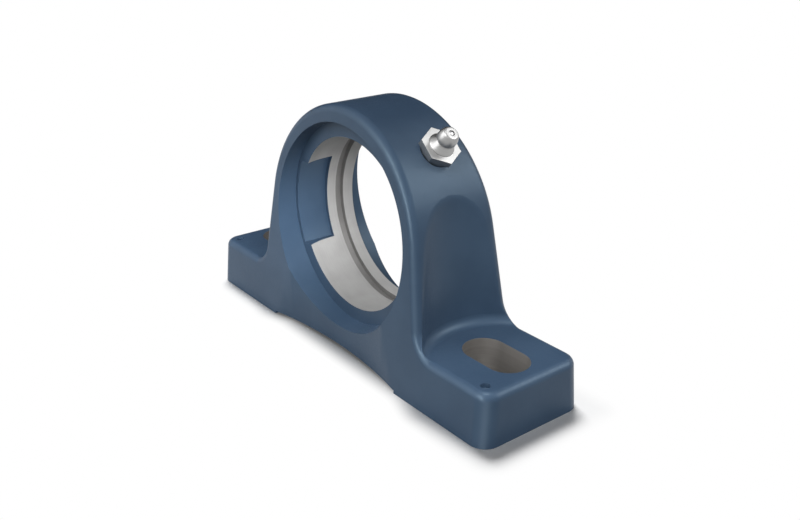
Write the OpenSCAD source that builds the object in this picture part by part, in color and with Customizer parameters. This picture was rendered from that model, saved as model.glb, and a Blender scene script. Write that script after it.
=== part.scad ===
// Plummer block housing for an insert bearing: a cast pedestal with a spherical seat and a grease nipple.
// X runs along the base, Y along the bore with the loading slots at the front (-Y), and Z is up.
// The origin is the middle of the machined underside.

/* [Base] */
// Length of the base along X, at the underside
base_len = 152; // [140:1:170]
// Width of the base along Y, at the underside
base_w = 41; // [38:0.2:48]
// Thickness of the feet
foot_t = 17; // [14:0.5:20]
// Radius of the upright corners of the feet
foot_corner_r = 5.5; // [4:0.5:8]
// Round along the cast edges
edge_r = 2.6; // [1.5:0.1:3.5]
// Draft of the front and rear faces, in degrees
face_draft = 4.6; // [2:0.1:5]
// Draft of the foot ends, in degrees
end_draft = 2.2; // [0.5:0.1:4]
// Length of the relieved stretch of the underside between the feet
relief_len = 70.4; // [50:0.2:76]
// Depth of the relief under the base
relief_depth = 1; // [0.5:0.1:2.5]
// Depth of the hollow in the base's front and rear edges
waist_depth = 3.9; // [2:0.1:4.5]

/* [Bolt slots] */
// Distance from the middle of a bolt slot to the foot's end, at the underside
slot_end_gap = 17.25; // [15:0.25:20]
// Width of a bolt slot
slot_w = 14; // [10:0.5:16]
// End-to-end length of a bolt slot
slot_len = 23.5; // [18:0.5:26]
// Diameter of the centring dimples for dowel pins
dimple_d = 3; // [2:0.1:4]
// Distance from a dimple to the foot's end, at the top
dimple_end_gap = 5.6; // [4:0.1:8]
// Distance from a dimple to the foot's front edge, at the top
dimple_front_gap = 4.5; // [3.5:0.1:7]

/* [Ring] */
// Height of the shaft centre above the underside
shaft_h = 42.9; // [40:0.1:50]
// Wall of the ring around the counterbores
ring_wall = 6; // [5:0.1:9]
// Draft of the pillar sides, in degrees
pillar_draft = 9; // [5:0.1:11]
// Fillet between the pillar and the foot
pillar_fillet = 8.5; // [6:0.5:10]

/* [Bolt head scoops] */
// How deep a scoop cuts into the ring, at the shaft's height
scoop_depth = 2.9; // [2.5:0.1:3.5]
// Radius of a scoop's flat floor on the foot
scoop_floor_r = 23; // [21:0.1:24]
// Fillet between a scoop's wall and the foot
scoop_fillet = 3; // [2:0.1:4]
// Draft of a scoop's wall, in degrees
scoop_draft = 3.2; // [0:0.1:4.5]

/* [Bearing seat] */
// Diameter of the spherical seat
seat_d = 62; // [58:0.1:64]
// Width of the seat along the bore
seat_w = 21; // [18:0.5:23]
// Step from the seat's radius out to the counterbores
seat_step = 3; // [2:0.1:4]
// Draft of the counterbores, in degrees
counterbore_draft = 8; // [2:0.5:12]
// Height of the two loading slots
load_slot_h = 30; // [24:0.5:34]
// Depth of the loading slots below the seat
load_slot_depth = 1.5; // [0.8:0.1:2]
// How far the loading slots run past the seat's middle
load_slot_past = 0.8; // [0.4:0.1:3]
// Width of the lubrication groove
groove_w = 2.9; // [2:0.1:4]
// Depth of the lubrication groove below the seat
groove_depth = 1.5; // [0.8:0.1:2]
// Distance of the groove's middle behind the seat's middle
groove_y = 5.65; // [5.4:0.05:7]

/* [Grease nipple] */
// Angle of the nipple from upright, towards +X, in degrees
nipple_angle = 43; // [30:0.5:50]
// Distance of the nipple behind the seat's middle
nipple_y = 2; // [0:0.1:3]
// Outer diameter of the nipple's thread
thread_d = 10; // [8:0.5:11]
// Length of the threaded shank
shank_len = 5.4; // [4.5:0.1:5.8]
// Size of the nipple's hexagon across its flats
hex_af = 11.5; // [11:0.5:14]
// Height of the hexagon
hex_h = 2.2; // [2:0.1:4]
// Height of the round collar that lifts the hexagon off its spot face
collar_h = 1.6; // [1:0.1:2.5]
// Depth of the spot face under the collar
spot_depth = 0.6; // [0.4:0.1:1.2]
// Diameter of the nipple's head
head_d = 6.5; // [6:0.1:7.5]
// Height of the nipple above its hexagon
head_h = 6.6; // [6:0.1:9]
// Diameter of the check ball
ball_d = 2.5; // [2.2:0.1:2.8]
// Wire diameter of the ball's spring
wire_d = 0.32; // [0.25:0.01:0.4]

/* [Hidden] */

iron_blue = "#3f5572";
zinc_grey = "#c9c9c6";
steel_grey = "#9a9a98";

// Overlap that lets a cut run clear of the face that it opens
cut_over = 2;
// Angle between points along the ring, and across a rounded edge
ring_step = 2.5;
edge_step = 15;
fillet_step = 9;
// How far the pedestal's fillet dips into the feet, how proud its faces stand and how its tail leans in
merge = 0.1;
skin = 0.03;
tail_draft = 6;
curve_fn = 96;
corner_fn = 32;
waist_fn = 360;
hex_sides = 6;

bolt_spacing = base_len - 2 * slot_end_gap;
load_slot_r = seat_d / 2 + load_slot_depth;
counterbore_r = seat_d / 2 + seat_step;
ring_r = counterbore_r + ring_wall;

function face_y(z) = base_w / 2 - z * tan(face_draft);
function end_x(z) = base_len / 2 - z * tan(end_draft);

// Casting outline, seen from the front: ring, drafted side, fillet and a tail sunk in the foot
fillet_z = foot_t + pillar_fillet - merge;
fillet_x = (ring_r + pillar_fillet + (shaft_h - fillet_z) * sin(pillar_draft)) / cos(pillar_draft);
tail_x = fillet_x + edge_r;
tail_top_z = foot_t - merge;
rim_z = foot_t - edge_r;
tail_z = foot_t / 3;
arc_count = ceil((90 - pillar_draft) / ring_step);
fillet_count = ceil((90 - pillar_draft) / fillet_step);

// Each entry is [x, z, outward x, outward z]; the outward pair moves the point when the edge is rounded
right_outline = concat(
    [for (i = [0:arc_count])
        let (a = 90 - (90 - pillar_draft) * i / arc_count)
        [ring_r * cos(a), shaft_h + ring_r * sin(a), cos(a), sin(a)]],
    [for (i = [0:fillet_count])
        let (a = 180 + pillar_draft + (90 - pillar_draft) * i / fillet_count)
        [fillet_x + pillar_fillet * cos(a), fillet_z + pillar_fillet * sin(a), -cos(a), -sin(a)]],
    [[tail_x, tail_top_z, 1, 1], [tail_x, rim_z - edge_r, 1, 0], [tail_x, tail_z, 1, 0]]
);
right_count = len(right_outline);
// The left half mirrors the right one, without the shared point at the ring's top
outline = concat(
    right_outline,
    [for (i = [right_count - 1:-1:1])
        let (p = right_outline[i])
        [-p[0], p[1], -p[2], p[3]]]
);

// Half depth of the pedestal at height z: proud of the feet by a hair, and sunk into them lower down
function pedestal_y(z) = face_y(z) + skin - max(0, rim_z - edge_r - z) * tan(tail_draft);

// A point of the outline, moved in by a rounded edge at angle a, on the front (side -1) or rear (side 1)
function edge_point(p, a, side) =
    let (inset = edge_r * (1 - cos(a)), depth = edge_r * (1 - sin(a)), z = p[1] - p[3] * inset)
    [p[0] - p[2] * inset, side * (pedestal_y(z) - depth), z];

// Underside of the casting, below the machined plane, and the thickness of the sheet that marks it
blank_low = -cut_over;
blank_skin = 0.01;

// Scoop: a drafted wall round an upright axis
scoop_wall_r = scoop_floor_r + scoop_fillet;
scoop_wall_z = foot_t + scoop_fillet;
function scoop_r(z) = scoop_wall_r + (z - scoop_wall_z) * tan(scoop_draft);
scoop_x = ring_r - scoop_depth + scoop_r(shaft_h);
scoop_top = shaft_h + ring_r;

// Base waist: an upright arc through the relief's ends and the hollow's middle
waist_r = (pow(relief_len / 2, 2) + pow(waist_depth, 2)) / (2 * waist_depth);
waist_y = base_w / 2 - waist_depth + waist_r;

// Nipple, measured outwards along its own axis from the bore's centre
seat_u = ring_r - spot_depth;
hex_low_u = seat_u + collar_h;
hex_top_u = hex_low_u + hex_h;
tip_u = hex_top_u + head_h;
shank_u = seat_u - shank_len;
hex_corner_r = hex_af / 2 / cos(180 / hex_sides);
collar_step = 0.35;
collar_r = thread_d / 2 + collar_step;
spot_gap = 0.3;
spot_r = collar_r + spot_gap;
thread_gap = 0.05;
tap_r = thread_d / 2 + thread_gap;
tap_gap = 0.6;
tap_floor_u = shank_u - tap_gap;
// Turned form above the hexagon: a coned foot, a neck, and a head with an undercut and a domed crown
hex_mid_u = hex_low_u + hex_h / 2;
thread_chamfer = 0.5;
cone_step = 0.9;
cone_r = head_d / 2 + cone_step;
cone_rim = 0.3;
neck_step = 0.85;
neck_r = head_d / 2 - neck_step;
neck_share = 0.3;
neck_u = hex_top_u + neck_share * head_h;
head_under = 0.6;
head_share = 0.45;
head_low_u = hex_top_u + head_share * head_h;
head_land = 0.3;
head_land_u = head_low_u + head_land;
crown_step = 1.5;
crown_r = head_d / 2 - crown_step;
crown = [for (a = [0:edge_step:90])
    [crown_r + crown_step * cos(a), head_land_u + (tip_u - head_land_u) * sin(a)]];

// Check valve: a cone at the tip, a straight chamber and a turned-in lip at the shank's end
ball_gap = 0.03;
chamber_gap = 0.12;
ball_r = ball_d / 2;
chamber_r = ball_r + chamber_gap;
mouth_step = 0.3;
mouth_r = ball_r - mouth_step;
lip_t = 0.35;
valve_angle = 34;
valve_u = tip_u - lip_t;
valve_low_u = valve_u - (chamber_r - mouth_r) / tan(valve_angle);
valve_apex_u = valve_u + mouth_r / tan(valve_angle);
ball_u = valve_apex_u - (ball_r + ball_gap) / sin(valve_angle);
crimp_t = 0.7;
crimp_step = 0.45;
crimp_r = chamber_r - crimp_step;

// Spring between the turned-in lip and the ball
wire_r = wire_d / 2;
spring_gap = 0.02;
coil_gap = 0.1;
coil_r = chamber_r - wire_r - coil_gap;
spring_low_u = shank_u + crimp_t + wire_r + spring_gap;
spring_reach = sqrt(pow(ball_r + wire_r + spring_gap, 2) - pow(coil_r, 2));
spring_high_u = ball_u - spring_reach;
turn_count = 9;
end_turn_count = 1;
turn_point_count = 16;
wire_side_count = 6;
end_pitch = 1.02 * wire_d;

// Grease passage from the tapped hole to the groove, as [y, u] points on the nipple's plane
passage_d = 2.2;
groove_r = sqrt(pow(seat_d / 2, 2) - pow(groove_y, 2)) + groove_depth;
passage_start = [0, tap_floor_u + passage_d / 2];
passage_end = [groove_y - nipple_y, groove_r - groove_depth];
passage_run = passage_end - passage_start;

module along_nipple() {
    translate([0, nipple_y, shaft_h]) rotate([0, nipple_angle, 0]) children();
}

module along_bore() {
    translate([0, 0, shaft_h]) rotate([-90, 0, 0]) children();
}

module both_sides() {
    for (side = [0, 1]) mirror([side, 0, 0]) children();
}

// Ring, pillar and the horns that run out onto the feet, with rounded front and rear edges
module pedestal() {
    rows = concat(
        [for (a = [90:-edge_step:0]) [for (p = outline) edge_point(p, a, -1)]],
        [for (a = [0:edge_step:90]) [for (p = outline) edge_point(p, a, 1)]]
    );
    n = len(outline);
    last = len(rows) - 1;
    walls = [for (k = [0:last - 1], i = [0:n - 1])
        let (j = (i + 1) % n)
        [k * n + i, (k + 1) * n + i, (k + 1) * n + j, k * n + j]];
    // A cap is bent where the tail starts to lean in, so it is two flat faces
    low = right_count - 1;
    upper = concat([for (i = [0:low - 1]) i], [for (i = [low + 2:n - 1]) i]);
    lower = [low - 1, low, low + 1, low + 2];
    caps = [upper, lower, [for (i = [len(upper) - 1:-1:0]) last * n + upper[i]],
        [for (i = [len(lower) - 1:-1:0]) last * n + lower[i]]];
    polyhedron([for (row = rows, p = row) p], concat(walls, caps), convexity = 6);
}

// One disc of the foot's top, with a rounded rim
module rounded_disc() {
    arc = [for (a = [0:edge_step:90])
        [foot_corner_r - edge_r * (1 - cos(a)), -edge_r * (1 - sin(a))]];
    rotate_extrude($fn = corner_fn) polygon(concat([[0, -edge_r]], arc, [[0, 0]]));
}

// Both feet and the web between them, drafted on all sides
module base_block() {
    hull() for (sx = [-1, 1], sy = [-1, 1]) {
        translate([sx * (end_x(rim_z) - foot_corner_r), sy * (face_y(rim_z) - foot_corner_r), foot_t])
            rounded_disc();
        translate([sx * (end_x(blank_low) - foot_corner_r), sy * (face_y(blank_low) - foot_corner_r),
            blank_low]) cylinder(r = foot_corner_r, h = blank_skin, $fn = corner_fn);
    }
}

// Clearance for a bolt head: a drafted round pocket in the pillar's side, filleted to the foot
module bolt_head_scoop() {
    arc = [for (a = [-90:edge_step:0])
        [scoop_floor_r + scoop_fillet * cos(a), foot_t + scoop_fillet * (1 + sin(a))]];
    translate([scoop_x, 0, 0]) rotate_extrude($fn = curve_fn)
        polygon(concat([[0, foot_t]], arc, [[scoop_r(scoop_top), scoop_top], [0, scoop_top]]));
}

// The rough casting as one skin; a resize by zeros keeps its size
module casting() {
    resize([0, 0, 0]) difference() {
        union() {
            pedestal();
            base_block();
        }
        both_sides() bolt_head_scoop();
    }
}

// Spherical seat, its two counterbores and the lubrication groove
module bearing_bore() {
    reach = base_w / 2 + cut_over;
    cone_len = reach - seat_w / 2;
    mouth = counterbore_r + cone_len * tan(counterbore_draft);
    intersection() {
        sphere(d = seat_d, $fn = curve_fn);
        translate([0, 0, -seat_w / 2]) cylinder(d = seat_d, h = seat_w, $fn = curve_fn);
    }
    for (side = [0, 1]) mirror([0, 0, side])
        translate([0, 0, seat_w / 2])
            cylinder(r1 = counterbore_r, r2 = mouth, h = cone_len, $fn = curve_fn);
    translate([0, 0, groove_y - groove_w / 2]) cylinder(r = groove_r, h = groove_w, $fn = curve_fn);
}

// Two slots that let the insert in sideways
module loading_slots() {
    depth = load_slot_past + base_w / 2;
    intersection() {
        translate([0, 0, load_slot_past - depth]) cylinder(r = load_slot_r, h = depth, $fn = curve_fn);
        translate([-ring_r, -load_slot_h / 2, load_slot_past - depth])
            cube([2 * ring_r, load_slot_h, depth]);
    }
}

module bolt_slot() {
    straight = slot_len - slot_w;
    depth = foot_t + 2 * cut_over;
    translate([bolt_spacing / 2, 0, -cut_over]) {
        for (side = [-1, 1])
            translate([side * straight / 2, 0, 0]) cylinder(d = slot_w, h = depth, $fn = curve_fn);
        translate([-straight / 2, -slot_w / 2, 0]) cube([straight, slot_w, depth]);
    }
}

// Conical dimple with a straight mouth, a start for a dowel drill
module dowel_dimple() {
    r = dimple_d / 2;
    drill_point = 0.6 * r;
    x = end_x(foot_t) - dimple_end_gap;
    y = -(face_y(foot_t) - dimple_front_gap);
    translate([x, y, foot_t]) rotate_extrude($fn = corner_fn)
        polygon([[0, -r - drill_point], [r, -r], [r, cut_over], [0, cut_over]]);
}

// Relieved underside and the hollowed front and rear edges between the feet
module base_relief() {
    translate([-relief_len / 2, -base_w, -cut_over])
        cube([relief_len, 2 * base_w, cut_over + relief_depth]);
    for (side = [-1, 1])
        translate([0, side * waist_y, -cut_over])
            cylinder(r = waist_r, h = shaft_h + cut_over, $fn = waist_fn);
}

// Spot face, tapped hole and the drilling that feeds the groove
module nipple_hole() {
    translate([0, 0, seat_u]) cylinder(r = spot_r, h = spot_depth + cut_over, $fn = curve_fn);
    translate([0, 0, tap_floor_u]) cylinder(r = tap_r, h = ring_r - tap_floor_u, $fn = curve_fn);
    translate([0, passage_start[0], passage_start[1]])
        rotate([-atan2(passage_run[0], passage_run[1]), 0, 0])
            cylinder(d = passage_d, h = norm(passage_run), $fn = corner_fn);
}

module housing() {
    color(iron_blue) difference() {
        casting();
        translate([-base_len, -base_len, -base_len]) cube([2 * base_len, 2 * base_len, base_len]);
        along_bore() {
            bearing_bore();
            loading_slots();
        }
        both_sides() {
            bolt_slot();
            dowel_dimple();
        }
        base_relief();
        along_nipple() nipple_hole();
    }
}

// Turned nipple: shank, collar, hexagon, coned foot, waisted neck and head, bored through for the valve
module grease_nipple() {
    color(zinc_grey) along_nipple() difference() {
        union() {
            rotate_extrude($fn = curve_fn) polygon(concat([
                [0, shank_u], [thread_d / 2 - thread_chamfer, shank_u],
                [thread_d / 2, shank_u + thread_chamfer], [thread_d / 2, seat_u],
                [collar_r, seat_u], [collar_r, hex_mid_u],
                [cone_r, hex_mid_u], [cone_r, hex_top_u + cone_rim],
                [neck_r, neck_u], [neck_r, head_low_u - head_under], [head_d / 2, head_low_u]
            ], crown, [[0, tip_u]]));
            translate([0, 0, hex_low_u]) cylinder(r = hex_corner_r, h = hex_h, $fn = hex_sides);
        }
        rotate_extrude($fn = curve_fn) polygon([
            [0, shank_u - cut_over], [crimp_r, shank_u - cut_over], [crimp_r, shank_u + crimp_t],
            [chamber_r, shank_u + crimp_t], [chamber_r, valve_low_u], [mouth_r, valve_u],
            [mouth_r, tip_u + cut_over], [0, tip_u + cut_over]
        ]);
    }
}

module check_ball() {
    color(steel_grey) along_nipple() translate([0, 0, ball_u]) sphere(d = ball_d, $fn = curve_fn);
}

// Rise of the spring's wire at turn t: flat end turns and an even pitch between them
spring_rise = spring_high_u - spring_low_u;
function wire_rise(t) =
    let (s = (t - end_turn_count) / (turn_count - 2 * end_turn_count))
    t < end_turn_count ? end_pitch * t
    : t > turn_count - end_turn_count ? spring_rise - end_pitch * (turn_count - t)
    : end_pitch * end_turn_count + s * (spring_rise - 2 * end_pitch * end_turn_count);

// Wire swept along a closed-and-ground style helix
module ball_spring() {
    steps = turn_count * turn_point_count;
    rings = [for (i = [0:steps])
        let (t = i / turn_point_count, a = 360 * t, out = [cos(a), sin(a), 0])
        [for (k = [0:wire_side_count - 1])
            let (b = 360 * k / wire_side_count)
            out * (coil_r + wire_r * cos(b)) + [0, 0, spring_low_u + wire_rise(t) + wire_r * sin(b)]]];
    walls = [for (i = [0:steps - 1], k = [0:wire_side_count - 1])
        let (m = (k + 1) % wire_side_count)
        [i * wire_side_count + k, i * wire_side_count + m,
            (i + 1) * wire_side_count + m, (i + 1) * wire_side_count + k]];
    caps = [[for (k = [wire_side_count - 1:-1:0]) k],
        [for (k = [0:wire_side_count - 1]) steps * wire_side_count + k]];
    color(steel_grey) along_nipple()
        polyhedron([for (ring = rings, p = ring) p], concat(walls, caps), convexity = 10);
}

housing();
grease_nipple();
check_ball();
ball_spring();
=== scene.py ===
"""Studio scene of a plummer block housing: a painted casting with a turned seat and a plated grease nipple.

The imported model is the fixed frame. Each shown piece starts from the frame's own shape, gets the soft rims
and broken edges that a foundry and a machine shop leave, and is dressed in procedural finishes.
"""

import logging
import math
from dataclasses import dataclass
from enum import Enum

import bpy
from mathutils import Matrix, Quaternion, Vector


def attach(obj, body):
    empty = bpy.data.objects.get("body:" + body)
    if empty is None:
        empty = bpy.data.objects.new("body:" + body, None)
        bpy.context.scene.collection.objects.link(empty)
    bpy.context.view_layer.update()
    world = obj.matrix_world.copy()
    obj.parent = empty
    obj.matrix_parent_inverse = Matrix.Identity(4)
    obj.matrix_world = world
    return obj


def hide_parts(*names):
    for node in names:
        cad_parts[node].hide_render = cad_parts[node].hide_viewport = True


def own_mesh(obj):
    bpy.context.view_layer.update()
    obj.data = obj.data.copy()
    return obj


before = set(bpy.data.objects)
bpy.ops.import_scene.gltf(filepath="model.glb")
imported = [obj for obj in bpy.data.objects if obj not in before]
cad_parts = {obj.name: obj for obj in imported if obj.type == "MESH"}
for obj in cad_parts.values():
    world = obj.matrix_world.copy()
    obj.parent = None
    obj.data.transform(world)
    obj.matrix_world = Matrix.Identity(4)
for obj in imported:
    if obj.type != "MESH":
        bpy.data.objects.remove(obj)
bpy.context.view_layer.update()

LOG = logging.getLogger("plummer_block")
MM = 0.001
WELD = 0.002 * MM
FLAT_ANGLE = 0.4
ROUND_ANGLE = 75.0
NOISE_LOW = 0.3
NOISE_HIGH = 0.7

Colour = tuple[float, float, float]
Place = tuple[float, float, float]


class Slot(Enum):
    """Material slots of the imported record."""

    PAINT = "blue_paint"
    ZINC = "zinc_plate"
    BALL = "ball_steel"
    WIRE = "spring_steel"


class Body(Enum):
    """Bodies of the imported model."""

    HOUSING = "housing"
    BALL = "check_ball"


class Iron(Enum):
    """Finishes on the casting, in the order of its material slots."""

    PAINT = 0
    SEAT = 1
    GROOVE = 2
    SLOT = 3
    MILLED = 4


class Axis(Enum):
    """Coordinate that a tool's marks run across."""

    X = "X"
    Y = "Y"
    Z = "Z"


def deselect_all() -> None:
    """Leave edit mode and clear the selection."""
    active = bpy.context.view_layer.objects.active
    if active is not None and active.mode != "OBJECT":
        bpy.ops.object.mode_set(mode="OBJECT")
    bpy.ops.object.select_all(action="DESELECT")


def make_active(piece: bpy.types.Object) -> None:
    """Select one object alone and make it active.

    Args:
        piece: The object that the next operators work on.
    """
    deselect_all()
    piece.select_set(True)
    bpy.context.view_layer.objects.active = piece


def copy_of_node(node: str, name: str) -> bpy.types.Object:
    """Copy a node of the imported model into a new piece, welded and with flat areas joined.

    Args:
        node: The node's name.
        name: The new piece's name.

    Returns:
        The new piece, with no material.
    """
    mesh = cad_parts[node].data.copy()
    mesh.materials.clear()
    piece = bpy.data.objects.new(name, mesh)
    bpy.context.scene.collection.objects.link(piece)
    make_active(piece)
    bpy.ops.mesh.customdata_custom_splitnormals_clear()
    bpy.ops.object.mode_set(mode="EDIT")
    bpy.ops.mesh.select_all(action="SELECT")
    bpy.ops.mesh.remove_doubles(threshold=WELD)
    bpy.ops.mesh.dissolve_limited(angle_limit=math.radians(FLAT_ANGLE))
    bpy.ops.object.mode_set(mode="OBJECT")
    return piece


def apply_modifiers(piece: bpy.types.Object) -> None:
    """Apply every modifier of a piece, in order.

    Args:
        piece: The piece.
    """
    make_active(piece)
    for modifier in list(piece.modifiers):
        bpy.ops.object.modifier_apply(modifier=modifier.name)


def break_edges(piece: bpy.types.Object, width: float, angle: float, segments: int) -> None:
    """Round all edges sharper than an angle.

    Args:
        piece: The piece.
        width: Width of the round, in metres.
        angle: Edges that turn by more than this are rounded, in degrees.
        segments: Faces across a round.
    """
    make_active(piece)
    bevel = piece.modifiers.new("broken_edges", "BEVEL")
    bevel.width = width
    bevel.limit_method = "ANGLE"
    bevel.angle_limit = math.radians(angle)
    bevel.segments = segments
    bevel.use_clamp_overlap = True
    apply_modifiers(piece)


def smooth(piece: bpy.types.Object, angle: float = 40.0) -> None:
    """Shade a piece smooth up to an angle, with flat areas kept flat.

    Args:
        piece: The piece.
        angle: Sharper edges stay sharp, in degrees.
    """
    make_active(piece)
    bpy.ops.object.shade_smooth_by_angle(angle=math.radians(angle))
    normals = piece.modifiers.new("even_normals", "WEIGHTED_NORMAL")
    normals.keep_sharp = True
    apply_modifiers(piece)


class Nodes:
    """Short hand for building one node tree."""

    def __init__(self, tree: bpy.types.NodeTree) -> None:
        """Keep the tree that the calls add to."""
        self.tree = tree

    def add(self, kind: str, inputs: dict | None = None, **values: object) -> bpy.types.Node:
        """Add a node, set its properties and set or link its inputs.

        Args:
            kind: The node's type name.
            inputs: Values or sockets for inputs, by name or number.
            values: Properties of the node.

        Returns:
            The node.
        """
        node = self.tree.nodes.new(kind)
        for name, value in values.items():
            setattr(node, name, value)
        for key, value in (inputs or {}).items():
            self.put(node.inputs[key], value)
        return node

    def put(self, socket: bpy.types.NodeSocket, value: object) -> None:
        """Link a socket to an input, or set the input's own value.

        Args:
            socket: The input.
            value: The socket to link, or the value to set.
        """
        if isinstance(value, bpy.types.NodeSocket):
            self.tree.links.new(value, socket)
        elif isinstance(value, tuple) and len(value) == 3 and socket.type == "RGBA":
            socket.default_value = (*value, 1.0)
        else:
            socket.default_value = value

    def math(self, operation: str, a: object, b: object = 0.0, clamp: bool = False) -> bpy.types.NodeSocket:
        """Add a math node and return its result."""
        node = self.add("ShaderNodeMath", {0: a, 1: b}, operation=operation, use_clamp=clamp)
        return node.outputs[0]

    def noise(
        self, vector: object, scale: float, detail: float = 2.0, rough: float = 0.5
    ) -> bpy.types.NodeSocket:
        """Add a noise texture and return its value."""
        inputs = {"Vector": vector, "Scale": scale, "Detail": detail, "Roughness": rough}
        return self.add("ShaderNodeTexNoise", inputs).outputs["Fac"]

    def ramp(
        self, value: object, low: float, high: float, to_low: float = 0.0, to_high: float = 1.0
    ) -> bpy.types.NodeSocket:
        """Map a value's range onto another, smoothly and clamped.

        Args:
            value: The value.
            low: Start of its range.
            high: End of its range.
            to_low: Result at the start.
            to_high: Result at the end.

        Returns:
            The result.
        """
        inputs = {"Value": value, "From Min": low, "From Max": high, "To Min": to_low, "To Max": to_high}
        return self.add("ShaderNodeMapRange", inputs, interpolation_type="SMOOTHSTEP").outputs["Result"]

    def mix(self, factor: object, a: object, b: object) -> bpy.types.NodeSocket:
        """Mix two colours.

        Args:
            factor: Share of the second colour.
            a: The first colour.
            b: The second colour.

        Returns:
            The mixed colour.
        """
        node = self.add("ShaderNodeMix", {"Factor": factor}, data_type="RGBA")
        colours = [s for s in node.inputs if s.type == "RGBA"]
        self.put(colours[0], a)
        self.put(colours[1], b)
        return next(s for s in node.outputs if s.type == "RGBA")

    def vector(self, operation: str, a: object, b: object = (0.0, 0.0, 0.0)) -> bpy.types.NodeSocket:
        """Add a vector math node and return its vector."""
        return self.add("ShaderNodeVectorMath", {0: a, 1: b}, operation=operation).outputs["Vector"]


def new_group(
    name: str, inputs: dict[str, str], outputs: dict[str, str]
) -> tuple[bpy.types.NodeTree, Nodes]:
    """Start a shader node group with named sockets.

    Args:
        name: The group's name.
        inputs: Socket types by name.
        outputs: Socket types by name.

    Returns:
        The group's tree and its builder.
    """
    tree = bpy.data.node_groups.new(name, "ShaderNodeTree")
    for label, kind in inputs.items():
        tree.interface.new_socket(label, in_out="INPUT", socket_type=kind)
    for label, kind in outputs.items():
        tree.interface.new_socket(label, in_out="OUTPUT", socket_type=kind)
    return tree, Nodes(tree)


def new_material(name: str) -> tuple[bpy.types.Material, Nodes, bpy.types.Node]:
    """Start a material with one Principled shader.

    Args:
        name: The material's name.

    Returns:
        The material, a builder for its nodes and the shader.
    """
    material = bpy.data.materials.new(name)
    material.use_nodes = True
    shader = next(x for x in material.node_tree.nodes if x.type == "BSDF_PRINCIPLED")
    return material, Nodes(material.node_tree), shader


@dataclass(frozen=True)
class CastSkin:
    """Sand-cast surface under paint: slow waves, grain and a few pits."""

    wave_scale: float = 260.0
    wave_height: float = 0.6
    grain_scale: float = 1500.0
    grain_height: float = 0.3
    mottle_scale: float = 55.0
    pit_scale: float = 420.0
    pit_core: float = 0.02
    pit_rim: float = 0.16
    patch_scale: float = 130.0
    patch_from: float = 0.56
    patch_to: float = 0.66

    def group(self) -> bpy.types.NodeTree:
        """Build the node group.

        Returns:
            The group, with a height, a slow mottle and a fine grain.
        """
        tree, n = new_group(
            "cast_skin",
            {"Vector": "NodeSocketVector", "Pits": "NodeSocketFloat"},
            {"Height": "NodeSocketFloat", "Mottle": "NodeSocketFloat", "Grain": "NodeSocketFloat"},
        )
        source = n.add("NodeGroupInput")
        vector = source.outputs["Vector"]
        waves = n.noise(vector, self.wave_scale)
        grain = n.noise(vector, self.grain_scale, detail=3.0, rough=0.6)
        mottle = n.noise(vector, self.mottle_scale, detail=3.0, rough=0.55)
        cells = n.add("ShaderNodeTexVoronoi", {"Vector": vector, "Scale": self.pit_scale})
        pits = n.ramp(cells.outputs["Distance"], self.pit_core, self.pit_rim, 1.0, 0.0)
        patches = n.noise(vector, self.patch_scale, detail=1.0)
        sparse = n.ramp(patches, self.patch_from, self.patch_to)
        pitted = n.math("MULTIPLY", n.math("MULTIPLY", pits, sparse), source.outputs["Pits"])
        rolling = n.math("MULTIPLY", waves, self.wave_height)
        sandy = n.math("MULTIPLY", grain, self.grain_height)
        height = n.math("SUBTRACT", n.math("ADD", rolling, sandy), pitted)
        n.add("NodeGroupOutput", {"Height": height, "Mottle": mottle, "Grain": grain})
        return tree


@dataclass(frozen=True)
class ToolMarks:
    """Marks of a cutting tool: fine even lines across one coordinate, broken up by slow streaks."""

    wander_scale: float = 90.0
    wander: float = 1.5
    streak_scale: float = 0.7
    streak_share: float = 0.6
    patch_scale: float = 160.0
    patch_share: float = 0.4

    def group(self) -> bpy.types.NodeTree:
        """Build the node group.

        Returns:
            The group, with a line height and a streak mask.
        """
        tree, n = new_group(
            "tool_marks",
            {"Across": "NodeSocketFloat", "Vector": "NodeSocketVector", "Pitch": "NodeSocketFloat"},
            {"Lines": "NodeSocketFloat", "Streaks": "NodeSocketFloat"},
        )
        source = n.add("NodeGroupInput")
        vector = source.outputs["Vector"]
        across = n.math("DIVIDE", source.outputs["Across"], source.outputs["Pitch"])
        wander = n.math("MULTIPLY", n.noise(vector, self.wander_scale, detail=1.0), self.wander)
        phase = n.math("MULTIPLY", n.math("ADD", across, wander), 2.0 * math.pi)
        half_wave = n.math("MULTIPLY", n.math("SINE", phase), 0.5)
        lines = n.math("ADD", half_wave, 0.5)
        bands = n.add("ShaderNodeCombineXYZ", {"X": n.math("MULTIPLY", across, self.streak_scale)})
        streaks = n.noise(bands.outputs["Vector"], 1.0, detail=4.0, rough=0.7)
        patches = n.noise(vector, self.patch_scale)
        along = n.math("MULTIPLY", streaks, self.streak_share)
        streaky = n.math("ADD", along, n.math("MULTIPLY", patches, self.patch_share))
        n.add("NodeGroupOutput", {"Lines": lines, "Streaks": streaky})
        return tree


class Effects:
    """Node groups that several finishes share."""

    def __init__(self) -> None:
        """Build the groups once."""
        self.cast_skin = CastSkin().group()
        self.tool_marks = ToolMarks().group()


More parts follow.
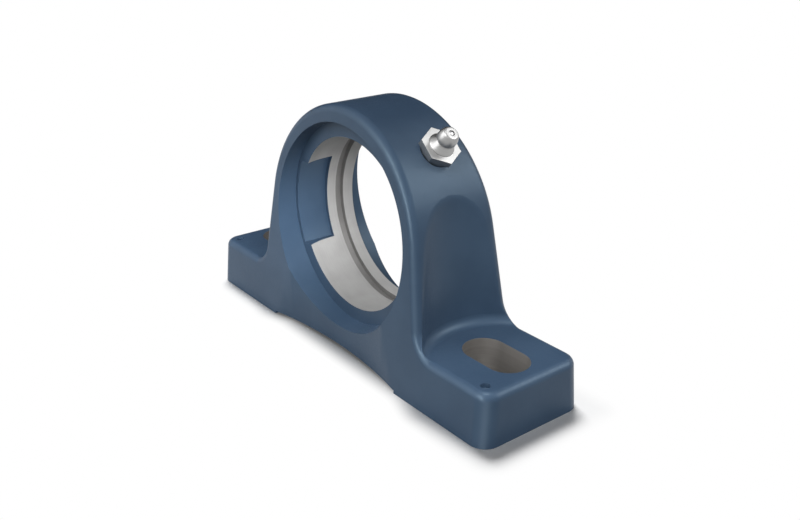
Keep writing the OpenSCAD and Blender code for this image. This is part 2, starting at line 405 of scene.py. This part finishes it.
@dataclass(frozen=True)
class PaintedIron:
    """Satin machine enamel over sand-cast iron."""

    deep: Colour = (0.032, 0.057, 0.098)
    light: Colour = (0.040, 0.069, 0.115)
    rough_low: float = 0.34
    rough_high: float = 0.43
    gloss: float = 0.26
    gloss_tint: Colour = (0.66, 0.87, 1.0)
    pits: float = 0.25
    bump: float = 0.10
    skin_depth: float = 0.25 * MM

    def material(self, effects: Effects) -> bpy.types.Material:
        """Build the material.

        Args:
            effects: The shared node groups.

        Returns:
            The material.
        """
        material, n, shader = new_material("blue_enamel")
        where = n.add("ShaderNodeTexCoord").outputs["Object"]
        skin = n.add("ShaderNodeGroup", {}, node_tree=effects.cast_skin)
        n.put(skin.inputs["Vector"], where)
        skin.inputs["Pits"].default_value = self.pits
        tone = n.ramp(skin.outputs["Mottle"], NOISE_LOW, NOISE_HIGH)
        n.put(shader.inputs["Base Color"], n.mix(tone, self.deep, self.light))
        rough = n.ramp(skin.outputs["Grain"], NOISE_LOW, NOISE_HIGH, self.rough_low, self.rough_high)
        n.put(shader.inputs["Roughness"], rough)
        relief = {"Strength": self.bump, "Distance": self.skin_depth, "Height": skin.outputs["Height"]}
        n.put(shader.inputs["Normal"], n.add("ShaderNodeBump", relief).outputs["Normal"])
        shader.inputs["Specular IOR Level"].default_value = self.gloss
        shader.inputs["Specular Tint"].default_value = (*self.gloss_tint, 1.0)
        return material


@dataclass(frozen=True)
class CutMetal:
    """Bare metal that shows the marks of the tool that cut it."""

    name: str
    dark: Colour
    light: Colour
    rough_low: float
    rough_high: float
    pitch: float
    axis: Axis
    bump: float
    metallic: float = 1.0
    gloss: float = 0.5
    middle: Place = (0.0, 0.0, 0.0)
    lean: float = 0.0
    mark_depth: float = 0.02 * MM

    def material(self, effects: Effects) -> bpy.types.Material:
        """Build the material.

        Args:
            effects: The shared node groups.

        Returns:
            The material.
        """
        material, n, shader = new_material(self.name)
        place = n.add("ShaderNodeTexCoord").outputs["Object"]
        turn = (0.0, math.radians(self.lean), 0.0)
        turned = {"Vector": place, "Location": self.middle, "Rotation": turn}
        where = n.add("ShaderNodeMapping", turned, vector_type="TEXTURE").outputs["Vector"]
        parts = n.add("ShaderNodeSeparateXYZ", {"Vector": where})
        marks = n.add("ShaderNodeGroup", {}, node_tree=effects.tool_marks)
        n.put(marks.inputs["Across"], parts.outputs[self.axis.value])
        n.put(marks.inputs["Vector"], where)
        marks.inputs["Pitch"].default_value = self.pitch
        streaks = marks.outputs["Streaks"]
        tone = n.ramp(streaks, NOISE_LOW, NOISE_HIGH)
        n.put(shader.inputs["Base Color"], n.mix(tone, self.dark, self.light))
        rough = n.ramp(streaks, NOISE_LOW, NOISE_HIGH, self.rough_high, self.rough_low)
        n.put(shader.inputs["Roughness"], rough)
        relief = {"Strength": self.bump, "Distance": self.mark_depth, "Height": marks.outputs["Lines"]}
        n.put(shader.inputs["Normal"], n.add("ShaderNodeBump", relief).outputs["Normal"])
        shader.inputs["Metallic"].default_value = self.metallic
        shader.inputs["Specular IOR Level"].default_value = self.gloss
        return material


IRON_FINISHES: dict[Iron, PaintedIron | CutMetal] = {
    Iron.PAINT: PaintedIron(),
    Iron.SEAT: CutMetal(
        "turned_seat",
        dark=(0.31, 0.308, 0.304),
        light=(0.37, 0.368, 0.364),
        rough_low=0.48,
        rough_high=0.60,
        pitch=0.22 * MM,
        axis=Axis.Y,
        bump=0.30,
        metallic=0.04,
        gloss=0.12,
    ),
    # The groove's colour is darker than the seat's partly as painted shade: the recess carries, in its
    # colour, darkness that shade would give it.
    Iron.GROOVE: CutMetal(
        "turned_groove_painted_shade",
        dark=(0.150, 0.147, 0.143),
        light=(0.190, 0.187, 0.183),
        rough_low=0.45,
        rough_high=0.58,
        pitch=0.30 * MM,
        axis=Axis.Y,
        bump=0.4,
        metallic=0.2,
    ),
    Iron.SLOT: CutMetal(
        "slot_wall",
        dark=(0.150, 0.141, 0.131),
        light=(0.182, 0.173, 0.162),
        rough_low=0.55,
        rough_high=0.7,
        pitch=0.9 * MM,
        axis=Axis.Z,
        bump=0.15,
        metallic=0.35,
    ),
    Iron.MILLED: CutMetal(
        "milled_underside",
        dark=(0.26, 0.25, 0.24),
        light=(0.34, 0.33, 0.32),
        rough_low=0.38,
        rough_high=0.5,
        pitch=0.8 * MM,
        axis=Axis.X,
        bump=0.5,
    ),
}
SPRING_WIRE = CutMetal(
    "spring_wire",
    dark=(0.36, 0.36, 0.37),
    light=(0.46, 0.46, 0.47),
    rough_low=0.28,
    rough_high=0.36,
    pitch=0.1 * MM,
    axis=Axis.X,
    bump=0.1,
)
BALL_STEEL = CutMetal(
    "ball_steel",
    dark=(0.60, 0.60, 0.61),
    light=(0.68, 0.68, 0.69),
    rough_low=0.08,
    rough_high=0.14,
    pitch=0.2 * MM,
    axis=Axis.Y,
    bump=0.02,
)


@dataclass
class Housing:
    """The casting with its turned seat, sizes in millimetres and degrees."""

    shaft_height: float = 42.9
    seat_radius: float = 31.0
    groove_radius: float = 31.98
    groove_from: float = 4.2
    groove_to: float = 7.1
    slot_middle: float = 58.75
    slot_half_width: float = 7.0
    slot_straight: float = 9.5
    scoop_axis: float = 64.38
    scoop_wall_radius: float = 26.0
    scoop_wall_height: float = 20.0
    scoop_draft: float = 3.2
    ring_radius: float = 40.0
    pillar_draft: float = 9.0
    fillet_radius: float = 8.5
    fillet_height: float = 25.4
    rim_clear: float = 0.02
    rim_soft: float = 0.6
    rim_least: float = 0.1
    rim_fade: float = 6.0
    rim_reach: float = 22.0
    rim_top: float = 64.0
    rim_columns: int = 80
    rim_rows: int = 84
    cutter_depth: float = 40.0
    edge_break: float = 0.25
    edge_angle: float = 38.0
    edge_faces: int = 2
    near: float = 0.2
    seat_slope: float = 0.6
    wall_slope: float = 0.5
    under_slope: float = 0.9

    def build(self, effects: Effects) -> bpy.types.Object:
        """Model and dress the casting.

        Args:
            effects: The shared node groups.

        Returns:
            The finished piece.
        """
        piece = copy_of_node("housing", "housing_casting")
        break_edges(piece, self.edge_break * MM, self.edge_angle, self.edge_faces)
        self._soften_scoops(piece)
        smooth(piece)
        self._dress(piece, effects)
        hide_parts("housing")
        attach(piece, Body.HOUSING.value)
        return piece

    def _scoop_x(self, y: float, z: float) -> float:
        """Distance of a scoop's wall from the bore's plane.

        Args:
            y: Place along the bore.
            z: Height above the underside.

        Returns:
            The distance.
        """
        draft = math.tan(math.radians(self.scoop_draft))
        radius = self.scoop_wall_radius + (z - self.scoop_wall_height) * draft
        return self.scoop_axis - math.sqrt(radius * radius - y * y)

    def _side_x(self, z: float) -> float:
        """Distance of the pillar's side from the bore's plane.

        Args:
            z: Height above the underside.

        Returns:
            The distance, on the ring, the drafted side or the fillet to the foot.
        """
        lean = math.radians(self.pillar_draft)
        start = self.shaft_height + self.ring_radius * math.sin(lean)
        if z > start:
            return math.sqrt(self.ring_radius**2 - (z - self.shaft_height) ** 2)
        drop = (self.shaft_height - self.fillet_height) * math.sin(lean)
        axis_x = (self.fillet_radius + self.ring_radius + drop) / math.cos(lean)
        if z < self.fillet_height - self.fillet_radius * math.sin(lean):
            return axis_x - math.sqrt(self.fillet_radius**2 - (z - self.fillet_height) ** 2)
        return self.ring_radius * math.cos(lean) + (start - z) * math.tan(lean)

    def _soft_side(self, y: float, z: float) -> float:
        """The side and the scoop's wall as one surface, with a soft rim between them.

        Args:
            y: Place along the bore.
            z: Height above the underside.

        Returns:
            Distance from the bore's plane.
        """
        side = self._side_x(z) + self.rim_clear
        wall = self._scoop_x(y, z) - self.rim_clear
        share = self.rim_least + (z - self.scoop_wall_height) / self.rim_fade
        soft = self.rim_soft * min(1.0, share)
        near = max(soft - abs(side - wall), 0.0) / soft
        return min(side, wall) - near * near * soft / 4.0

    def _scoop_cutter(self, sign: float) -> bpy.types.Object:
        """Model the cutter that gives one scoop its smooth wall and soft rim.

        Args:
            sign: 1 for the right scoop, -1 for the left one.

        Returns:
            The cutter, a closed solid.
        """
        deselect_all()
        low = self.scoop_wall_height
        bpy.ops.mesh.primitive_grid_add(
            x_subdivisions=self.rim_columns, y_subdivisions=self.rim_rows, size=2.0, location=(0.0, 0.0, 0.0)
        )
        cutter = bpy.context.active_object
        for vertex in cutter.data.vertices:
            y = vertex.co.x * self.rim_reach
            z = low + (vertex.co.y + 1.0) / 2.0 * (self.rim_top - low)
            vertex.co = Vector((sign * self._soft_side(y, z), y, z)) * MM
        outwards = (sign * self.cutter_depth * MM, 0.0, 0.0)
        bpy.ops.object.mode_set(mode="EDIT")
        bpy.ops.mesh.select_all(action="SELECT")
        bpy.ops.mesh.extrude_region_move(TRANSFORM_OT_translate={"value": outwards})
        bpy.ops.mesh.select_all(action="SELECT")
        bpy.ops.mesh.normals_make_consistent(inside=False)
        bpy.ops.object.mode_set(mode="OBJECT")
        return cutter

    def _soften_scoops(self, piece: bpy.types.Object) -> None:
        """Recut both scoops with a smooth wall and a soft rim.

        Args:
            piece: The casting.
        """
        for sign in (1.0, -1.0):
            cutter = self._scoop_cutter(sign)
            make_active(piece)
            cut = piece.modifiers.new("soft_scoop", "BOOLEAN")
            cut.operation = "DIFFERENCE"
            cut.solver = "EXACT"
            cut.object = cutter
            apply_modifiers(piece)
            bpy.data.objects.remove(cutter)

    def _finish_of(self, points: list[Vector], normal: Vector) -> Iron:
        """Choose the finish of a face.

        Args:
            points: The face's corners.
            normal: The face's normal.

        Returns:
            The finish.
        """
        corners = [(p.x / MM, p.y / MM, p.z / MM) for p in points]
        across = [math.hypot(x, z - self.shaft_height) for x, _, z in corners]
        reach = [math.hypot(a, y) for a, (_, y, _) in zip(across, corners)]
        ys = [y for _, y, _ in corners]
        in_groove = self.groove_from - self.near < min(ys) and max(ys) < self.groove_to + self.near
        if in_groove and max(across) < self.groove_radius + self.near:
            return Iron.GROOVE
        off_seat = max(abs(r - self.seat_radius) for r in reach)
        if off_seat < self.near and abs(normal.y) < self.seat_slope:
            return Iron.SEAT
        half = self.slot_straight / 2.0
        along = [max(0.0, abs(abs(x) - self.slot_middle) - half) for x, _, _ in corners]
        off_slot = max(math.hypot(a, y) for a, y in zip(along, ys))
        if off_slot < self.slot_half_width + self.near and abs(normal.z) < self.wall_slope:
            return Iron.SLOT
        if max(z for _, _, z in corners) < self.near and normal.z < -self.under_slope:
            return Iron.MILLED
        return Iron.PAINT

    def _dress(self, piece: bpy.types.Object, effects: Effects) -> None:
        """Give every face of the casting its finish.

        Args:
            piece: The casting.
            effects: The shared node groups.
        """
        for finish in Iron:
            piece.data.materials.append(IRON_FINISHES[finish].material(effects))
        places = piece.data.vertices
        for face in piece.data.polygons:
            points = [places[i].co for i in face.vertices]
            face.material_index = self._finish_of(points, face.normal).value


@dataclass
class GreaseNipple:
    """The plated nipple with its check ball and spring, sizes in millimetres and degrees."""

    angle: float = 43.0
    set_back: float = 2.0
    shaft_height: float = 42.9
    spring_low: float = 34.7
    spring_length: float = 13.0
    travel: float = 1.0
    edge_break: float = 0.12
    edge_angle: float = 30.0
    edge_faces: int = 2

    def axis(self) -> Vector:
        """Direction of the nipple, out of the ring."""
        turn = math.radians(self.angle)
        return Vector((math.sin(turn), 0.0, math.cos(turn)))

    def place(self, along: float) -> Vector:
        """A point on the nipple's axis.

        Args:
            along: Distance from the bore's centre, in millimetres.

        Returns:
            The point, in metres.
        """
        return Vector((0.0, self.set_back, self.shaft_height)) * MM + self.axis() * along * MM

    def build(self, effects: Effects) -> list[bpy.types.Object]:
        """Model and dress the nipple, its spring and its ball.

        Args:
            effects: The shared node groups.

        Returns:
            The pieces.
        """
        return [self._plated(effects), self._spring(effects), self._ball(effects)]

    def _zinc(self) -> CutMetal:
        """The plating, with tool marks that run round the nipple's axis."""
        return CutMetal(
            "zinc_plate",
            dark=(0.31, 0.31, 0.308),
            light=(0.38, 0.38, 0.377),
            rough_low=0.32,
            rough_high=0.40,
            pitch=0.12 * MM,
            axis=Axis.Z,
            bump=0.12,
            middle=tuple(self.place(0.0)),
            lean=self.angle,
        )

    def _plated(self, effects: Effects) -> bpy.types.Object:
        """Model and dress the nipple's plated body.

        Args:
            effects: The shared node groups.

        Returns:
            The finished piece.
        """
        plated = copy_of_node("grease_nipple", "nipple_plated")
        break_edges(plated, self.edge_break * MM, self.edge_angle, self.edge_faces)
        smooth(plated)
        plated.data.materials.append(self._zinc().material(effects))
        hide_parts("grease_nipple")
        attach(plated, Body.HOUSING.value)
        return plated

    def _spring(self, effects: Effects) -> bpy.types.Object:
        """Dress the spring.

        Args:
            effects: The shared node groups.

        Returns:
            The finished piece.
        """
        wire = copy_of_node("ball_spring", "valve_spring")
        smooth(wire, ROUND_ANGLE)
        wire.data.materials.append(SPRING_WIRE.material(effects))
        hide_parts("ball_spring")
        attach(wire, Body.HOUSING.value)
        self.axis()
        self.place(self.spring_low)
        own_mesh(wire)
        return wire

    def _ball(self, effects: Effects) -> bpy.types.Object:
        """Dress the ball that closes the nipple's mouth.

        Args:
            effects: The shared node groups.

        Returns:
            The finished piece.
        """
        ball = copy_of_node("check_ball", "valve_ball")
        smooth(ball, ROUND_ANGLE)
        ball.data.materials.append(BALL_STEEL.material(effects))
        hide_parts("check_ball")
        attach(ball, Body.BALL.value)
        return ball


class Reach(Enum):
    """What a lamp lights."""

    PIECES = "pieces"
    CASTING = "casting"
    FLOOR = "floor"


class Use(Enum):
    """What a lamp or a card is used for."""

    LIGHT = "light"
    DULL_LIGHT = "light that isn't mirrored"
    MIRRORED = "seen in gloss alone"
    FLAG = "shades one lamp"


@dataclass(frozen=True)
class Lamp:
    """One soft studio lamp that looks at a point, sizes in metres and degrees, power in watts."""

    name: str
    place: Place
    aim: Place
    width: float
    height: float
    power: float
    use: Use = Use.LIGHT
    reach: Reach = Reach.PIECES
    shadow: bool = True
    flagged: bool = False
    roll: float = 0.0
    spread: float = 180.0

    def build(self) -> bpy.types.Object:
        """Add the lamp to the scene.

        Returns:
            The lamp.
        """
        light = bpy.data.lights.new(self.name, "AREA")
        light.shape = "RECTANGLE"
        light.size = self.width
        light.size_y = self.height
        light.energy = self.power
        light.use_shadow = self.shadow
        light.spread = math.radians(self.spread)
        lamp = bpy.data.objects.new(self.name, light)
        bpy.context.scene.collection.objects.link(lamp)
        lamp.location = self.place
        look = (Vector(self.aim) - Vector(self.place)).to_track_quat("-Z", "Y")
        rolled = look @ Quaternion((0.0, 0.0, 1.0), math.radians(self.roll))
        lamp.rotation_euler = rolled.to_euler()
        lamp.visible_camera = False
        lamp.visible_glossy = self.use is not Use.DULL_LIGHT
        lamp.visible_diffuse = self.use is not Use.MIRRORED
        return lamp


@dataclass(frozen=True)
class Card:
    """A dark studio card that the camera doesn't see."""

    name: str
    place: Place
    facing: Place
    width: float
    height: float
    use: Use
    shade: float = 0.02

    def build(self) -> bpy.types.Object:
        """Add the card to the scene.

        Returns:
            The card.
        """
        deselect_all()
        bpy.ops.mesh.primitive_plane_add(size=1.0)
        card = bpy.context.active_object
        card.name = self.name
        card.scale = (self.width, self.height, 1.0)
        card.location = self.place
        card.rotation_euler = Vector(self.facing).to_track_quat("Z", "Y").to_euler()
        material, _, shader = new_material(self.name)
        shader.inputs["Base Color"].default_value = (self.shade, self.shade, self.shade, 1.0)
        shader.inputs["Roughness"].default_value = 1.0
        card.data.materials.append(material)
        card.visible_camera = False
        card.visible_diffuse = False
        card.visible_glossy = self.use is Use.MIRRORED
        card.visible_transmission = False
        card.visible_shadow = self.use is Use.FLAG
        return card


LAMPS: tuple[Lamp, ...] = (
    Lamp("top", (0.06, -0.10, 0.85), (0.0, 0.0, 0.03), 0.30, 0.30, 4.4, flagged=True),
    Lamp("front", (-0.05, -0.68, 0.70), (0.0, 0.0, 0.04), 1.10, 0.40, 5.2),
    Lamp("key", (-0.40, -0.88, 0.30), (0.0, 0.0, 0.04), 0.70, 0.50, 2.8),
    Lamp(
        "strip", (0.14, -0.88, 0.36), (0.0, 0.0, 0.05), 0.12, 0.80, 11.0,
        use=Use.MIRRORED, reach=Reach.CASTING, roll=33.0,
    ),
    Lamp(
        "low", (0.60, -0.62, -0.42), (0.06, -0.02, 0.02), 0.40, 0.60, 5.5,
        use=Use.MIRRORED, reach=Reach.CASTING,
    ),
    Lamp(
        "side", (0.52, 0.56, 0.60), (0.0, 0.0, 0.05), 0.50, 0.50, 5.0,
        use=Use.MIRRORED, shadow=False,
    ),
    Lamp(
        "fill", (0.72, -0.10, 0.52), (0.0, 0.0, 0.05), 0.50, 0.50, 4.2,
        use=Use.DULL_LIGHT, shadow=False,
    ),
    Lamp(
        "bore", (0.020, -0.032, 0.046), (-0.034, -0.010, 0.034), 0.02, 0.02, 0.0052,
        use=Use.DULL_LIGHT, spread=60.0,
    ),
    Lamp(
        "ground", (-0.30, 0.18, 0.78), (0.0, 0.0, 0.0), 0.30, 0.30, 8.0,
        use=Use.DULL_LIGHT, reach=Reach.FLOOR,
    ),
)


@dataclass
class Studio:
    """White floor, soft lamps and the camera, sizes in metres, degrees and lens millimetres."""

    floor_half: float = 4.0
    floor_height: float = -0.05 * MM
    floor_albedo: float = 0.82
    floor_bounce: float = 0.16
    floor_lift: float = 0.06
    shadow_middle: Place = (0.005, 0.001, 0.0)
    shadow_half: Place = (0.074, 0.021, 1.0)
    shadow_fade: float = 0.009
    shadow_arch: float = 0.004
    arch_from: float = 0.030
    arch_to: float = 0.046
    world_light: float = 0.18
    horizon: Card = Card("horizon", (-1.2, 0.9, 1.2), (1.2, -0.9, 0.0), 2.6, 2.4, Use.MIRRORED)
    flag: Card = Card("flag", (0.0, -0.002, 0.15), (0.0, 0.0, 1.0), 0.09, 0.06, Use.FLAG)
    camera_place: Place = (0.22886, -0.17106, 0.15044)
    camera_turn: Place = (66.777, -0.264, 51.809)
    camera_near: float = 0.01
    lens: float = 41.15
    sensor: float = 36.0

    def build(self) -> None:
        """Set up the surround, the dark horizon and the camera."""
        self._world()
        self.horizon.build()
        self._camera()
        bpy.context.scene.view_settings.view_transform = "Standard"

    def light(self, pieces: list[bpy.types.Object]) -> None:
        """Set up the floor, the flag and the lamps, each lamp for what it is there to light.

        Args:
            pieces: The pieces that the lamps light, the casting first.
        """
        flag = self.flag.build()
        lit = {
            Reach.PIECES: self._collection("lit_pieces", pieces),
            Reach.CASTING: self._collection("lit_casting", pieces[:1]),
            Reach.FLOOR: self._collection("lit_floor", [self._floor()]),
        }
        flagged = self._collection("flagged", [*pieces, flag])
        for lamp in LAMPS:
            linking = lamp.build().light_linking
            linking.receiver_collection = lit[lamp.reach]
            linking.blocker_collection = flagged if lamp.flagged else lit[Reach.PIECES]

    def _collection(self, name: str, members: list[bpy.types.Object]) -> bpy.types.Collection:
        """Gather objects for the lamps' links.

        Args:
            name: The collection's name.
            members: The objects.

        Returns:
            The collection.
        """
        group = bpy.data.collections.new(name)
        for member in members:
            group.objects.link(member)
        return group

    def _seen(self, n: Nodes) -> bpy.types.NodeSocket:
        """Rays that see the background: from the camera, off gloss or through glass.

        Args:
            n: The builder of the tree that asks.

        Returns:
            1 for such rays, 0 for others.
        """
        path = n.add("ShaderNodeLightPath")
        seen = n.math("ADD", path.outputs["Is Camera Ray"], path.outputs["Is Glossy Ray"], True)
        return n.math("ADD", seen, path.outputs["Is Transmission Ray"], True)

    def _world(self) -> None:
        """A white surround that lights the object softly and is white where it is seen."""
        world = bpy.data.worlds.new("white_surround")
        bpy.context.scene.world = world
        world.use_nodes = True
        n = Nodes(world.node_tree)
        background = next(x for x in world.node_tree.nodes if x.type == "BACKGROUND")
        background.inputs["Color"].default_value = (1.0, 1.0, 1.0, 1.0)
        n.put(background.inputs["Strength"], n.ramp(self._seen(n), 0.0, 1.0, self.world_light, 1.0))

    def _past_shadow(self, n: Nodes) -> bpy.types.NodeSocket:
        """How far a place on the floor lies outside the shadow's pool, which narrows under the arch.

        Args:
            n: The builder of the floor's tree.

        Returns:
            0 in the pool, rising to 1 where the floor is plain white.
        """
        where = n.add("ShaderNodeTexCoord").outputs["Object"]
        from_middle = n.vector("ABSOLUTE", n.vector("SUBTRACT", where, self.shadow_middle))
        parts = n.add("ShaderNodeSeparateXYZ", {"Vector": from_middle})
        arch = n.ramp(parts.outputs["X"], self.arch_from, self.arch_to, self.shadow_arch, 0.0)
        drawn_in = n.math("ADD", parts.outputs["Y"], arch)
        pool = n.add("ShaderNodeCombineXYZ", {"X": parts.outputs["X"], "Y": drawn_in}).outputs["Vector"]
        outside = n.vector("MAXIMUM", n.vector("SUBTRACT", pool, self.shadow_half))
        reach = n.add("ShaderNodeVectorMath", {0: outside}, operation="LENGTH").outputs["Value"]
        return n.ramp(reach, 0.0, self.shadow_fade)

    def _floor(self) -> bpy.types.Object:
        """A white floor that keeps the object's shadow and fades to plain white further out.

        Returns:
            The floor.
        """
        deselect_all()
        level = (0.0, 0.0, self.floor_height)
        bpy.ops.mesh.primitive_plane_add(size=2.0 * self.floor_half, location=level)
        floor = bpy.context.active_object
        floor.name = "studio_floor"
        material = bpy.data.materials.new("white_floor")
        material.use_nodes = True
        material.node_tree.nodes.clear()
        n = Nodes(material.node_tree)
        seen = self._seen(n)
        far = n.math("MULTIPLY", self._past_shadow(n), seen)
        shade = n.mix(seen, (self.floor_bounce,) * 3, (self.floor_albedo,) * 3)
        paint = n.add("ShaderNodeBsdfDiffuse", {"Color": shade})
        lift = n.add("ShaderNodeEmission", {"Strength": n.math("MULTIPLY", seen, self.floor_lift)})
        near = n.add("ShaderNodeAddShader", {0: paint.outputs[0], 1: lift.outputs[0]})
        white = n.add("ShaderNodeEmission", {"Strength": 1.0})
        both = n.add("ShaderNodeMixShader", {0: far, 1: near.outputs[0], 2: white.outputs[0]})
        n.add("ShaderNodeOutputMaterial", {"Surface": both.outputs[0]})
        floor.data.materials.append(material)
        return floor

    def _camera(self) -> None:
        """Stand the camera where the photograph was taken from."""
        data = bpy.data.cameras.new("camera")
        data.sensor_fit = "HORIZONTAL"
        data.sensor_width = self.sensor
        data.lens = self.lens
        data.clip_start = self.camera_near
        data.dof.use_dof = False
        camera = bpy.data.objects.new("camera", data)
        bpy.context.scene.collection.objects.link(camera)
        camera.location = self.camera_place
        camera.rotation_euler = [math.radians(a) for a in self.camera_turn]
        bpy.context.scene.camera = camera


def main() -> None:
    """Build the studio and the pieces in order, and report each piece."""
    logging.basicConfig(level=logging.INFO, format="%(message)s")
    deselect_all()
    effects = Effects()
    studio = Studio()
    studio.build()
    pieces = [Housing().build(effects), *GreaseNipple().build(effects)]
    studio.light(pieces)
    for piece in pieces:
        LOG.info("%s: %d faces", piece.name, len(piece.data.polygons))


if __name__ == "__main__":
    main()
